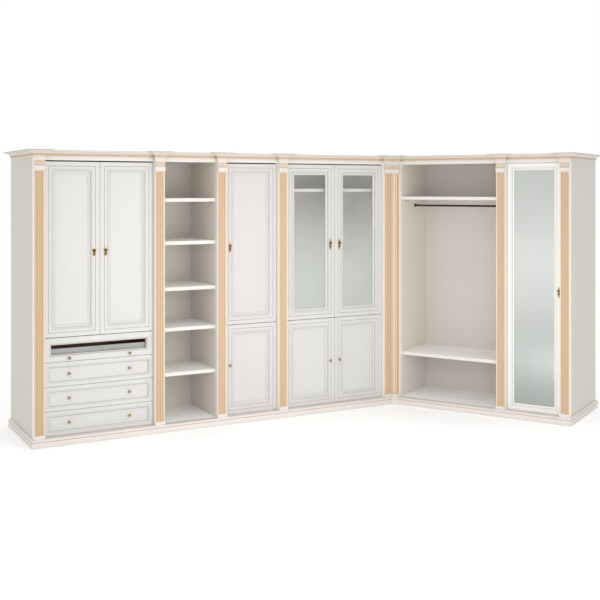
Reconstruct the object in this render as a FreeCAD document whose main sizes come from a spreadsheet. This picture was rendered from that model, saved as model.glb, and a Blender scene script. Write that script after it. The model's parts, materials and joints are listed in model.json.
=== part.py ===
import FreeCAD, Part
import math
import os
import Sketcher

# Corner wardrobe: two straight runs of bays that meet at an obtuse inside corner.
# Each run is laid out in its own frame: u to the right as seen from the front,
# v backwards from the door fronts, z up from the floor. Millimetres throughout.

SIZES = [
    ("corner_angle", 120, "angle between the two fronts, in degrees"),
    ("board", 22, "carcass boards"),
    ("back_board", 8, "back panels"),
    ("carcass_depth", 540, "door fronts to back panels"),
    ("end_depth", 760, "door fronts to the back of the end panels, which run on to the wall"),
    ("carcass_height", 2202, "floor to underside of cornice"),
    ("plinth_height", 64, "floor to ledge"),
    ("plinth_lip", 20, "plinth in front of the pilasters"),
    ("plinth_groove", 46, "height of the groove line in the plinth"),
    ("plinth_roll", 12, "rounded upper edge of the plinth"),
    ("plinth_cut", 3, "depth of that groove"),
    ("drawer_bay", 878, "clear width, doors over drawers"),
    ("shelf_bay", 460, "clear width, open shelves"),
    ("panel_bay", 487, "clear width, single doors"),
    ("glass_bay", 990, "clear width, glass doors"),
    ("hanging_bay", 917, "clear width, open hanging bay"),
    ("mirror_bay", 469, "clear width, mirror door"),
    ("pilaster_width", 84, "width of each pilaster"),
    ("pilaster_reach", 50, "pilaster front before the door fronts"),
    ("facing", 10, "thickness of the fluted facings"),
    ("corner_left", 110, "corner post, face on the left run"),
    ("corner_right", 48, "corner post, face on the right run"),
    ("corner_bead", 8, "radius of the bead in the inside corner"),
    ("bead_gap", 1, "that bead to the facings beside it"),
    ("corner_block", 52, "width of the pedestal in the inside corner"),
    ("block_reach", 44, "that pedestal before the pilaster fronts"),
    ("edge_bead", 4, "half the width of the beads along the facings"),
    ("edge_step", 7, "fluted field down to the beads"),
    ("quirk", 3, "groove beside an edge bead"),
    ("flute_radius", 8, "hollow of a flute"),
    ("flute_half", 7, "half the width of a flute"),
    ("flute_pitch", 19, "flute to flute"),
    ("base_height", 27, "block under each facing"),
    ("base_reach", 6, "that block before the facing"),
    ("base_play", 1.5, "that block short of the moving fronts beside it"),
    ("capital_height", 106, "capital over each facing"),
    ("capital_reach", 6, "collar of the capital before the facing"),
    ("cornice_height", 54, "cornice over the bays"),
    ("cornice_reach", 58, "cornice before its wall line"),
    ("cornice_wall", 22, "cornice behind its wall line"),
    ("cornice_band", 19, "flat band under the crown"),
    ("band_reach", 2, "that band before the wall line"),
    ("crown_reach", 8, "foot of the crown before the wall line"),
    ("cornice_hollow", 52, "radius of the crown's hollow"),
    ("cap_rise", 3, "caps over the pilasters stand higher"),
    ("fill_lap", 2, "overlap of a cap's block and mouldings"),
    ("door_thickness", 22, "door frames and drawer fronts"),
    ("door_gap", 3, "gap round doors and drawer fronts"),
    ("top_gap", 10, "gap over the upper doors"),
    ("divider_gap", 4, "backs of the fronts to the dividers"),
    ("split_height", 818, "middle of the gap between upper and lower fronts"),
    ("split_gap", 5, "that gap"),
    ("door_frame", 90, "stiles and rails of panel and glass doors"),
    ("mirror_frame", 57, "stiles and rails of the mirror door"),
    ("drawer_frame", 52, "moulded border of drawer fronts"),
    ("window_frame", 55, "border of the front with the window"),
    ("door_moulding", 32, "bead and ogee along the inside of a door frame"),
    ("mirror_moulding", 26, "the same on the mirror door"),
    ("drawer_moulding", 24, "the same on drawer fronts"),
    ("window_moulding", 14, "the same round the window"),
    ("strip_rise", 42, "window sill to the top of the glass strip behind it"),
    ("line_inset", 34, "door edge to the groove line in its frame"),
    ("line_half", 2, "half the width of that line"),
    ("line_depth", 2.5, "depth of that line"),
    ("step_depth", 3, "bead down to the ogee"),
    ("panel_drop", 9, "frame front back to panel edge"),
    ("rebate_front", 12, "frame front to rebate"),
    ("rebate", 10, "overlap of frame and panel"),
    ("panel_play", 1, "free edge round panels and panes"),
    ("panel_thickness", 8, "door panels"),
    ("pane_thickness", 4, "glass and mirror"),
    ("pivot_inset", 10, "door edge to pivot"),
    ("pivot_setback", 6, "door front to pivot"),
    ("pin_radius", 3.5, "pivot pins"),
    ("pin_play", 0.05, "play of a pin in its bore"),
    ("pin_length", 14, "pin inside the door"),
    ("bore_depth", 16, "bore for a pin"),
    ("flange_radius", 6, "collar of a pin"),
    ("flange", 2.5, "thickness of the collar"),
    ("tongue", 2, "thickness of the pivot plates"),
    ("drawer_wall", 12, "walls of the drawer boxes"),
    ("drawer_floor", 8, "floors of the drawer boxes"),
    ("drawer_clear", 18, "drawer boxes short of the back panels"),
    ("drawer_side_gap", 5, "drawer box to side panel"),
    ("drawer_lift", 14, "front edge to underside of box"),
    ("drawer_head", 34, "box lower than its front"),
    ("runner_width", 24, "drawer runners"),
    ("runner_height", 10, "drawer runners"),
    ("runner_gap", 0.4, "runner to drawer box"),
    ("shelf_board", 28, "shelves"),
    ("shelf_setback", 8, "open shelf front behind the door fronts"),
    ("inner_setback", 60, "inner shelf front behind the door fronts"),
    ("peg", 10, "shelf supports"),
    ("rail_radius", 9, "clothes rails"),
    ("rail_drop", 56, "shelf underside to rail axis"),
    ("rail_depth", 285, "door fronts to rail axis"),
    ("socket_radius", 15, "rail sockets"),
    ("socket_length", 10, "rail sockets"),
    ("foot_radius", 25, "levelling feet"),
    ("foot_inset", 70, "foot axis to the edges of its bay"),
    ("knob_radius", 11, "turned knobs"),
    ("knob_length", 26, "turned knobs"),
    ("grip_inset", 45, "door edge to handle or knob"),
    ("mirror_grip_inset", 16, "the same on the mirror door"),
    ("plate_width", 13, "handle plate"),
    ("plate_height", 92, "handle from end to end"),
    ("plate_thickness", 3, "handle plate"),
    ("rosette_radius", 12, "disc under the handle's knob"),
    ("drop_radius", 6.5, "pendant of the handle"),
]

doc = FreeCAD.newDocument("corner_wardrobe")
sheet = doc.addObject("Spreadsheet::Sheet", "Sizes")
for row, (alias, number, note) in enumerate(SIZES, start=1):
    sheet.set(f"A{row}", note)
    sheet.set(f"B{row}", str(number))
    sheet.setAlias(f"B{row}", alias)
doc.recompute()


class Size:
    """A dimension that carries its value and its formula in the sheet's names."""

    def __init__(self, value, formula=None):
        self.value = value
        self.formula = formula or repr(value)

    def __add__(self, other):
        other = as_size(other)
        return Size(self.value + other.value, f"({self.formula} + {other.formula})")

    def __sub__(self, other):
        other = as_size(other)
        return Size(self.value - other.value, f"({self.formula} - {other.formula})")

    def __mul__(self, other):
        other = as_size(other)
        return Size(self.value * other.value, f"({self.formula} * {other.formula})")

    def __truediv__(self, other):
        other = as_size(other)
        return Size(self.value / other.value, f"({self.formula} / {other.formula})")

    def __radd__(self, other):
        return as_size(other) + self

    def __rsub__(self, other):
        return as_size(other) - self

    def __rmul__(self, other):
        return as_size(other) * self

    def __neg__(self):
        return Size(-self.value, f"(-1 * {self.formula})")


def as_size(number):
    """Plain numbers join in the arithmetic of sizes."""
    return number if isinstance(number, Size) else Size(number)


def cosine(angle):
    """Cosine of an angle held in degrees."""
    return Size(math.cos(math.radians(angle.value)), f"cos({angle.formula})")


def sine(angle):
    """Sine of an angle held in degrees."""
    return Size(math.sin(math.radians(angle.value)), f"sin({angle.formula})")


class Sheet:
    """Sizes by the name of their cell."""

    def __getattr__(self, alias):
        return Size(float(sheet.get(alias)), f"Sizes.{alias}")


dim = Sheet()


def bind(piece, **sizes):
    """Ties properties of a piece to the sheet."""
    for prop, size in sizes.items():
        piece.setExpression(prop, as_size(size).formula)


class Run:
    """A straight run: where its frame starts and how far it is turned about z."""

    def __init__(self, x, y, angle):
        self.x = as_size(x)
        self.y = as_size(y)
        self.angle = as_size(angle)
        self.cos = cosine(self.angle)
        self.sin = sine(self.angle)

    def seat(self, piece, u, v, z):
        """Puts a piece at (u, v, z) of this run."""
        places = {
            "Placement.Base.x": self.x + u * self.cos - v * self.sin,
            "Placement.Base.y": self.y + u * self.sin + v * self.cos,
            "Placement.Base.z": as_size(z),
            "Placement.Rotation.Angle": self.angle,
        }
        for prop, size in places.items():
            piece.setExpression(prop, size.formula)


# Clear bays in order from the left end; each start is the left edge of the clear width.
LEFT_BAYS = ("drawer", "shelf", "panel", "glass")
RIGHT_BAYS = ("hanging", "mirror")
CLEAR = {
    "drawer": dim.drawer_bay,
    "shelf": dim.shelf_bay,
    "panel": dim.panel_bay,
    "glass": dim.glass_bay,
    "hanging": dim.hanging_bay,
    "mirror": dim.mirror_bay,
}
START = {}
edge = dim.pilaster_width
for bay in LEFT_BAYS:
    START[bay] = edge
    edge = edge + CLEAR[bay] + dim.pilaster_width
left_length = START["glass"] + CLEAR["glass"] + dim.corner_left
edge = dim.corner_right
for bay in RIGHT_BAYS:
    START[bay] = edge
    edge = edge + CLEAR[bay] + dim.pilaster_width
right_length = edge

# The part's origin is the middle of its footprint; the inside corner is found from there.
right_turn = dim.corner_angle - 90
inner_turn = dim.corner_angle - 180
overall_depth = dim.pilaster_reach + dim.end_depth
right_reach = right_length + dim.cornice_reach
least_x = -overall_depth
most_x = right_reach * cosine(right_turn) + dim.cornice_reach * sine(right_turn)
least_y = -(left_length + dim.cornice_reach)
most_y = right_reach * sine(right_turn) + overall_depth * cosine(right_turn)
corner_x = (least_x + most_x) * -0.5
corner_y = (least_y + most_y) * -0.5

left_run = Run(corner_x - dim.pilaster_reach, corner_y - left_length, 90)
right_run = Run(
    corner_x - dim.pilaster_reach * sine(right_turn),
    corner_y + dim.pilaster_reach * cosine(right_turn),
    right_turn,
)
corner_run = Run(corner_x, corner_y, (right_turn + 90) / 2)
here = Run(0, 0, 0)
RUN = {bay: left_run for bay in LEFT_BAYS}
RUN.update({bay: right_run for bay in RIGHT_BAYS})

PROFILE_TURN = FreeCAD.Rotation(FreeCAD.Vector(1, 1, 1), 120)
nodes = []


def block(name, run, at, extent):
    """Rectangular block with its lowest corner at (u, v, z) of a run."""
    solid = doc.addObject("Part::Box", name)
    bind(solid, Length=extent[0], Width=extent[1], Height=extent[2])
    run.seat(solid, *at)
    return solid


def post(name, run, at, radius, height):
    """Upright cylinder standing at (u, v, z) of a run."""
    solid = doc.addObject("Part::Cylinder", name)
    bind(solid, Radius=radius, Height=height)
    run.seat(solid, *at)
    return solid


def stand(name, pieces, run, at):
    """Group of pieces built round their own origin, put at (u, v, z) of a run."""
    group = doc.addObject("Part::Compound", name)
    group.Links = pieces
    run.seat(group, *at)
    return group


def fuse(name, pieces):
    """One solid from overlapping pieces."""
    solid = doc.addObject("Part::MultiFuse", name)
    solid.Shapes = pieces
    return solid


def cut(name, base, tool):
    """A piece with another taken out of it."""
    solid = doc.addObject("Part::Cut", name)
    solid.Base = base
    solid.Tool = tool
    return solid


def copy(name, original, run, at):
    """Further piece of the same make at (u, v, z) of a run."""
    link = doc.addObject("App::Link", name)
    link.LinkedObject = original
    link.LinkTransform = False
    return stand(f"{name}_place", [link], run, at)


def node(label, pieces):
    """Finished sub-part: its pieces under the name of its file."""
    group = doc.addObject("Part::Compound", label)
    group.Label = label
    group.Links = pieces
    nodes.append(group)
    return group


def pin(sketch, curve, end, corner):
    """Holds one end of a sketch curve at a corner given in sizes."""
    for kind, size in zip(("DistanceX", "DistanceY"), corner):
        size = as_size(size)
        held = Sketcher.Constraint(kind, -1, 1, curve, end, size.value)
        index = sketch.addConstraint(held)
        sketch.setExpression(f"Constraints[{index}]", size.formula)


def arc_between(start, end, radius):
    """Arc bulging to the right of the way from start to end, or left for a negative radius."""
    chord = end - start
    across = FreeCAD.Vector(chord.y, -chord.x, 0).normalize()
    rise = abs(radius) - math.sqrt(max(radius**2 - chord.Length**2 / 4, 0))
    return Part.Arc(start, (start + end) * 0.5 + across * math.copysign(rise, radius), end)


def draw(sketch, corners, closed=True):
    """Outline through corners (x, y); a third entry is the radius of the arc to the next one."""
    points = [FreeCAD.Vector(as_size(c[0]).value, as_size(c[1]).value, 0) for c in corners]
    count = len(corners) if closed else len(corners) - 1
    ends = []
    for index in range(count):
        first, second = points[index], points[(index + 1) % len(points)]
        if len(corners[index]) == 2:
            curve = sketch.addGeometry(Part.LineSegment(first, second))
            ends.append((curve, 1, 2))
            continue
        radius = as_size(corners[index][2])
        curve = sketch.addGeometry(arc_between(first, second, radius.value))
        start_end = 1 if (sketch.getPoint(curve, 1) - first).Length < 1e-6 else 2
        ends.append((curve, start_end, 3 - start_end))
        held = sketch.addConstraint(Sketcher.Constraint("Radius", curve, abs(radius.value)))
        sketch.setExpression(f"Constraints[{held}]", f"abs({radius.formula})")
    for index, (curve, start, _) in enumerate(ends):
        pin(sketch, curve, start, corners[index][:2])
        if index or closed:
            before, _, finish = ends[index - 1]
            sketch.addConstraint(Sketcher.Constraint("Coincident", before, finish, curve, start))
    if not closed:
        pin(sketch, ends[-1][0], ends[-1][2], corners[-1][:2])


def outline(name, corners, heading=None):
    """Closed sketch; with a heading in degrees it stands across a path that sets off that way."""
    sketch = doc.addObject("Sketcher::SketchObject", name)
    draw(sketch, corners)
    if heading is not None:
        across = FreeCAD.Rotation(FreeCAD.Vector(0, 0, 1), heading) * PROFILE_TURN
        sketch.Placement = FreeCAD.Placement(FreeCAD.Vector(), across)
    return sketch


def moulding(name, corners, path, heading=0):
    """Profile carried along a path of mitred straight lengths from the origin."""
    profile = outline(f"{name}_profile", corners, heading)
    route = doc.addObject("Sketcher::SketchObject", f"{name}_path")
    draw(route, path, closed=False)
    sweep = doc.addObject("Part::Sweep", f"{name}_sweep")
    sweep.Sections = [profile]
    sweep.Spine = (route, [f"Edge{index + 1}" for index in range(len(path) - 1)])
    sweep.Solid = True
    sweep.Transition = "Right corner"
    return sweep


def extruded(name, corners, height):
    """Body padded upwards from a drawn section."""
    body = doc.addObject("PartDesign::Body", name)
    section = body.newObject("Sketcher::SketchObject", f"{name}_section")
    draw(section, corners)
    pad = body.newObject("PartDesign::Pad", f"{name}_pad")
    pad.Profile = section
    bind(pad, Length=height)
    return body


def turned(name, corners):
    """Solid turned about the v axis from a section (radius, v)."""
    solid = doc.addObject("Part::Revolution", name)
    solid.Source = outline(f"{name}_section", corners)
    solid.Axis = FreeCAD.Vector(0, 1, 0)
    solid.Angle = 360
    solid.Solid = True
    return solid


# Carcass: sides, end panels, tops, bottoms and backs of every bay.
top_inside = dim.carcass_height - dim.board
bottom_inside = dim.plinth_height
sides = []
tops = []
bottoms = []
backs = []
feet = []
for bay in LEFT_BAYS + RIGHT_BAYS:
    run, start, clear = RUN[bay], START[bay], CLEAR[bay]
    upright = (dim.board, dim.carcass_depth, dim.carcass_height)
    sides.append(block(f"{bay}_side_left", run, (start - dim.board, 0, 0), upright))
    sides.append(block(f"{bay}_side_right", run, (start + clear, 0, 0), upright))
    flat = (clear, dim.carcass_depth, dim.board)
    tops.append(block(f"{bay}_top", run, (start, 0, top_inside), flat))
    bottoms.append(block(f"{bay}_bottom", run, (start, 0, bottom_inside - dim.board), flat))
    back_left = start - dim.pilaster_width / 2
    back_right = start + clear + dim.pilaster_width / 2
    if bay == "drawer":
        back_left = dim.board
    if bay == "glass":
        back_right = start + clear + dim.board
    if bay == "hanging":
        back_left = start - dim.board
    if bay == "mirror":
        back_right = right_length - dim.board
    at = (back_left, dim.carcass_depth, bottom_inside)
    extent = (back_right - back_left, dim.back_board, dim.carcass_height - bottom_inside)
    backs.append(block(f"{bay}_back", run, at, extent))
    for foot_u in (start + dim.foot_inset, start + clear - dim.foot_inset):
        for foot_v in (dim.foot_inset, dim.carcass_depth - dim.foot_inset):
            at = (foot_u, foot_v, 0)
            feet.append(post(f"{bay}_foot", run, at, dim.foot_radius, bottom_inside - dim.board))
end_panel = (dim.board, dim.end_depth, dim.carcass_height - dim.plinth_height)
sides.append(block("end_left", left_run, (0, 0, dim.plinth_height), end_panel))
at = (right_length - dim.board, 0, dim.plinth_height)
sides.append(block("end_right", right_run, at, end_panel))
node("side_panels", sides)
node("top_boards", tops)
node("bottom_boards", bottoms)
node("back_panels", backs)
node("levelling_feet", feet)

# Fixed dividers behind the line where upper and lower fronts meet.
divider_front = dim.door_thickness + dim.divider_gap
dividers = []
for bay in ("drawer", "panel", "glass"):
    at = (START[bay], divider_front, dim.split_height - dim.board / 2)
    extent = (CLEAR[bay], dim.carcass_depth - divider_front, dim.board)
    dividers.append(block(f"{bay}_divider", RUN[bay], at, extent))
node("dividers", dividers)

# Shelves by bay: upper face as a share of the carcass height, setback, rail below or not.
SHELVES = [
    ("shelf", 0.2103, dim.shelf_setback, False),
    ("shelf", 0.376, dim.shelf_setback, False),
    ("shelf", 0.5254, dim.shelf_setback, False),
    ("shelf", 0.6953, dim.shelf_setback, False),
    ("shelf", 0.8547, dim.shelf_setback, False),
    ("hanging", 0.2139, dim.shelf_setback, False),
    ("hanging", 0.8574, dim.shelf_setback, True),
    ("drawer", 0.8574, dim.inner_setback, True),
    ("panel", 0.8574, dim.inner_setback, False),
    ("glass", 0.8901, dim.inner_setback, False),
    ("mirror", 0.8574, dim.inner_setback, False),
]
shelves = []
pegs = []
rails = []
for index, (bay, share, setback, railed) in enumerate(SHELVES):
    run, start, clear = RUN[bay], START[bay], CLEAR[bay]
    under = dim.carcass_height * share - dim.shelf_board
    at = (start, setback, under)
    extent = (clear, dim.carcass_depth - setback, dim.shelf_board)
    shelves.append(block(f"{bay}_shelf_{index}", run, at, extent))
    for peg_u in (start, start + clear - dim.peg):
        for peg_v in (setback + dim.foot_inset, dim.carcass_depth - dim.foot_inset):
            at = (peg_u, peg_v, under - dim.peg)
            pegs.append(block(f"{bay}_peg_{index}", run, at, (dim.peg, dim.peg, dim.peg)))
    if railed:
        far_socket = start + clear - dim.socket_length
        rail_length = clear - 2 * dim.socket_length
        pieces = (
            ("socket_left", start, dim.socket_radius, dim.socket_length),
            ("rail", start + dim.socket_length, dim.rail_radius, rail_length),
            ("socket_right", far_socket, dim.socket_radius, dim.socket_length),
        )
        for name, rail_u, radius, length in pieces:
            rod = doc.addObject("Part::Cylinder", f"{bay}_{name}_rod")
            bind(rod, Radius=radius, Height=length)
            rod.Placement.Rotation = PROFILE_TURN
            at = (rail_u, dim.rail_depth, under - dim.rail_drop)
            rails.append(stand(f"{bay}_{name}", [rod], run, at))
node("shelves", shelves)
node("shelf_pegs", pegs)
node("clothes_rails", rails)

# Pilasters: cream columns with fluted facings, base mouldings and capitals before them.
PILASTERS = [
    ("first", left_run, as_size(0)),
    ("second", left_run, START["shelf"] - dim.pilaster_width),
    ("third", left_run, START["panel"] - dim.pilaster_width),
    ("fourth", left_run, START["glass"] - dim.pilaster_width),
    ("sixth", right_run, START["mirror"] - dim.pilaster_width),
    ("seventh", right_run, right_length - dim.pilaster_width),
]
facing_foot = dim.plinth_height + dim.base_height
facing_top = dim.carcass_height - dim.capital_height
column_depth = dim.pilaster_reach - dim.facing
column_height = dim.carcass_height - dim.plinth_height


def fluted(name, width, flutes):
    """Facing with a raised fluted field between two lower beads."""
    bead_end = 2 * dim.edge_bead
    field = bead_end + dim.quirk
    bead = dim.edge_bead * -1.15
    section = [
        (0, dim.facing),
        (0, dim.edge_step, bead),
        (bead_end, dim.edge_step),
        (field, dim.edge_step),
        (field, 0),
    ]
    for flute in range(flutes):
        middle = width / 2 + (flute - (flutes - 1) / 2) * dim.flute_pitch
        section.append((middle - dim.flute_half, 0, -dim.flute_radius))
        section.append((middle + dim.flute_half, 0))
    section += [
        (width - field, 0),
        (width - field, dim.edge_step),
        (width - bead_end, dim.edge_step, bead),
        (width, dim.edge_step),
        (width, dim.facing),
    ]
    return extruded(name, section, facing_top - facing_foot)


base_section = [
    (dim.facing, 0),
    (-dim.base_reach, 0),
    (-dim.base_reach, dim.base_height * 0.6, -dim.base_height),
    (0, dim.base_height),
    (dim.facing, dim.base_height),
]
REEDS = 3
collar_top = dim.capital_height * 0.43
reed_rise = dim.capital_height * 0.34 / REEDS
head_foot = collar_top + REEDS * reed_rise
head_reach = dim.capital_reach * 0.7
collar_bead = 2 * dim.edge_bead
reed_face = dim.capital_reach / 2
capital_section = [
    (dim.facing, 0),
    (collar_bead / -8, 0, dim.edge_bead * -1.2),
    (collar_bead / -8, collar_bead),
    (-dim.capital_reach, collar_bead),
    (-dim.capital_reach, collar_top - collar_bead, dim.capital_reach * -2),
]
for reed in range(REEDS):
    capital_section.append((reed_face, collar_top + reed * reed_rise, reed_rise * -0.6))
capital_section += [
    (reed_face, head_foot),
    (-head_reach, head_foot),
    (-head_reach, dim.capital_height),
    (dim.facing, dim.capital_height),
]
straight = [(0, 0), (dim.pilaster_width, 0)]
base_side = dim.door_gap - dim.base_play
base_path = [(0, 0), (dim.pilaster_width + 2 * base_side, 0)]
facing = fluted("facing", dim.pilaster_width, 3)
base = moulding("base", base_section, base_path)
capital = moulding("capital", capital_section, straight)
columns = []
facings = []
bases = []
capitals = []
for name, run, u in PILASTERS:
    at = (u, -column_depth, dim.plinth_height)
    extent = (dim.pilaster_width, column_depth, column_height)
    columns.append(block(f"{name}_column", run, at, extent))
    facings.append(copy(f"{name}_facing", facing, run, (u, -dim.pilaster_reach, facing_foot)))
    at = (u - base_side, -dim.pilaster_reach, dim.plinth_height)
    bases.append(copy(f"{name}_base", base, run, at))
    capitals.append(copy(f"{name}_capital", capital, run, (u, -dim.pilaster_reach, facing_top)))

# Corner post: two arms under one bead, with a facing on each arm.
corner_start = left_length - dim.corner_left
arm_overlap = column_depth * 0.5
corner_arms = [
    block(
        "corner_arm_left",
        left_run,
        (corner_start, -column_depth, dim.plinth_height),
        (dim.corner_left + arm_overlap, column_depth, column_height),
    ),
    block(
        "corner_arm_right",
        right_run,
        (-arm_overlap, -column_depth, dim.plinth_height),
        (dim.corner_right + arm_overlap, column_depth, column_height),
    ),
    post(
        "corner_bead_round",
        left_run,
        (left_length, dim.corner_bead * 0.75 - dim.pilaster_reach, facing_foot),
        dim.corner_bead,
        facing_top - facing_foot,
    ),
]
columns.append(fuse("corner_column", corner_arms))
bead_space = dim.corner_bead + dim.bead_gap
facing_left = fluted("corner_facing_left", dim.corner_left - bead_space, 3)
facing_right = fluted("corner_facing_right", dim.corner_right - bead_space, 1)
at = (corner_start, -dim.pilaster_reach, facing_foot)
facings.append(stand("corner_facing_left_place", [facing_left], left_run, at))
at = (bead_space, -dim.pilaster_reach, facing_foot)
facings.append(stand("corner_facing_right_place", [facing_right], right_run, at))
turn_cos = cosine(inner_turn)
turn_sin = sine(inner_turn)
corner_path = [
    (0, 0),
    (dim.corner_left, 0),
    (dim.corner_left + dim.corner_right * turn_cos, dim.corner_right * turn_sin),
]
corner_base = moulding("corner_base", base_section, corner_path)
corner_capital = moulding("corner_capital", capital_section, corner_path)
at = (corner_start, -dim.pilaster_reach, dim.plinth_height)
corner_foot = stand("corner_base_place", [corner_base], left_run, at)
pedestal_width = dim.corner_block * 0.85
pedestal_reach = dim.block_reach * 0.7
at = (-pedestal_width / 2, -pedestal_reach, dim.plinth_height)
extent = (pedestal_width, pedestal_reach - dim.base_reach, dim.base_height)
pedestal = block("corner_pedestal", corner_run, at, extent)
bases.append(fuse("corner_base_solid", [corner_foot, pedestal]))
at = (corner_start, -dim.pilaster_reach, facing_top)
capitals.append(stand("corner_capital_place", [corner_capital], left_run, at))
node("pilaster_columns", columns)
node("pilaster_facings", facings)
node("pilaster_bases", bases)
node("capitals", capitals)

# Plinth: a grooved front board with a ledge, carried round both ends and the inside corner.
ledge = dim.plinth_height - dim.board * 0.8
plinth_section = [
    (-dim.plinth_lip, 0),
    (dim.board - dim.plinth_lip, 0),
    (dim.board - dim.plinth_lip, ledge),
    (dim.pilaster_reach, ledge),
    (dim.pilaster_reach, dim.plinth_height),
    (dim.plinth_roll - dim.plinth_lip, dim.plinth_height, dim.plinth_roll * 1.1),
    (-dim.plinth_lip, dim.plinth_height - dim.plinth_roll),
    (-dim.plinth_lip, dim.plinth_groove + dim.plinth_cut),
    (dim.plinth_cut - dim.plinth_lip, dim.plinth_groove),
    (-dim.plinth_lip, dim.plinth_groove - dim.plinth_cut),
]
plinth_depth = dim.end_depth + dim.pilaster_reach
front_u = left_length + right_length * turn_cos
front_v = right_length * turn_sin - plinth_depth
plinth_path = [
    (0, 0),
    (0, -plinth_depth),
    (left_length, -plinth_depth),
    (front_u, front_v),
    (front_u - plinth_depth * turn_sin, front_v + plinth_depth * turn_cos),
]
plinth_sweep = moulding("plinth_board", plinth_section, plinth_path, -90)
plinth_round = stand("plinth_place", [plinth_sweep], left_run, (0, dim.end_depth, 0))
at = (dim.corner_block / -2, -dim.block_reach, 0)
extent = (dim.corner_block, dim.block_reach, dim.plinth_height)
corner_block = block("corner_block", corner_run, at, extent)
node("plinth", [fuse("plinth_solid", [plinth_round, corner_block])])


# Cornice: break-front caps over the pilasters and coped lengths between them.
def cornice_section(height):
    """Band, fillet, hollow crown and top fillet of the cornice."""
    fillet = dim.cornice_height / 6
    return [
        (dim.cornice_wall, 0),
        (-dim.band_reach, 0),
        (-dim.band_reach, dim.cornice_band),
        (-dim.crown_reach, dim.cornice_band),
        (-dim.crown_reach, dim.cornice_band + fillet / 2, dim.cornice_hollow),
        (fillet * 0.6 - dim.cornice_reach, height - fillet),
        (-dim.cornice_reach, height - fillet),
        (-dim.cornice_reach, height),
        (dim.cornice_wall, height),
    ]


cap_height = dim.cornice_height + dim.cap_rise
cap_section = cornice_section(cap_height)
cap_back = dim.cornice_wall
cap_front = cap_back + dim.pilaster_reach
end_back = dim.end_depth - cap_back
fill_edge = dim.cornice_wall - dim.fill_lap


def cap_fill(name, run, left, right):
    """Block that closes a cap between its mouldings."""
    at = (left, fill_edge - dim.pilaster_reach, dim.carcass_height)
    depth = cap_back + dim.pilaster_reach - fill_edge
    return block(name, run, at, (right - left, depth, cap_height))


caps = {}
for name, run, u in PILASTERS:
    near = end_back if name == "first" else as_size(0)
    far = end_back if name == "seventh" else as_size(0)
    path = [
        (0, 0),
        (0, -(cap_front + near)),
        (dim.pilaster_width, -(cap_front + near)),
        (dim.pilaster_width, far - near),
    ]
    ring = moulding(f"{name}_cap", cap_section, path, -90)
    at = (u, cap_back + near, dim.carcass_height)
    fill = cap_fill(f"{name}_fill", run, u + fill_edge, u + dim.pilaster_width - fill_edge)
    caps[name] = fuse(f"{name}_cap_solid", [stand(f"{name}_ring", [ring], run, at), fill])
right_front = (
    dim.corner_left + dim.corner_right * turn_cos,
    dim.corner_right * turn_sin - cap_front,
)
path = [
    (0, 0),
    (0, -cap_front),
    (dim.corner_left, -cap_front),
    right_front,
    (right_front[0] - cap_front * turn_sin, right_front[1] + cap_front * turn_cos),
]
ring = moulding("corner_cap", cap_section, path, -90)
caps["corner"] = fuse(
    "corner_cap_solid",
    [
        stand("corner_ring", [ring], left_run, (corner_start, cap_back, dim.carcass_height)),
        cap_fill("fill_left", left_run, corner_start + fill_edge, left_length + fill_edge / 2),
        cap_fill("fill_right", right_run, fill_edge * -0.5, dim.corner_right - fill_edge),
    ],
)
NEIGHBOURS = {
    "drawer": ("first", "second"),
    "shelf": ("second", "third"),
    "panel": ("third", "fourth"),
    "glass": ("fourth", "corner"),
    "hanging": ("corner", "sixth"),
    "mirror": ("sixth", "seventh"),
}
bay_section = cornice_section(dim.cornice_height)
cornices = []
for bay, sides_of_bay in NEIGHBOURS.items():
    length = CLEAR[bay] + dim.board
    strip = moulding(f"{bay}_cornice", bay_section, [(0, 0), (length, 0)])
    at = (START[bay] - dim.board / 2, 0, dim.carcass_height)
    coped = stand(f"{bay}_strip", [strip], RUN[bay], at)
    for name in sides_of_bay:
        coped = cut(f"{bay}_cope_{name}", coped, caps[name])
    cornices.append(coped)
node("cornice_caps", list(caps.values()))
node("cornice_lengths", cornices)

# Brass furniture, built round the middle of the face it sits on.
neck = dim.knob_radius * 0.45
ball_seat = dim.knob_radius * 1.8 - dim.knob_length
knob = turned(
    "knob",
    [
        (0, 0),
        (dim.knob_radius * 0.8, 0),
        (dim.knob_radius * 0.8, ball_seat * 0.3),
        (neck, ball_seat * 0.5),
        (neck, ball_seat),
        (dim.knob_radius * 0.6, ball_seat, -dim.knob_radius),
        (0, -dim.knob_length),
    ],
)


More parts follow.
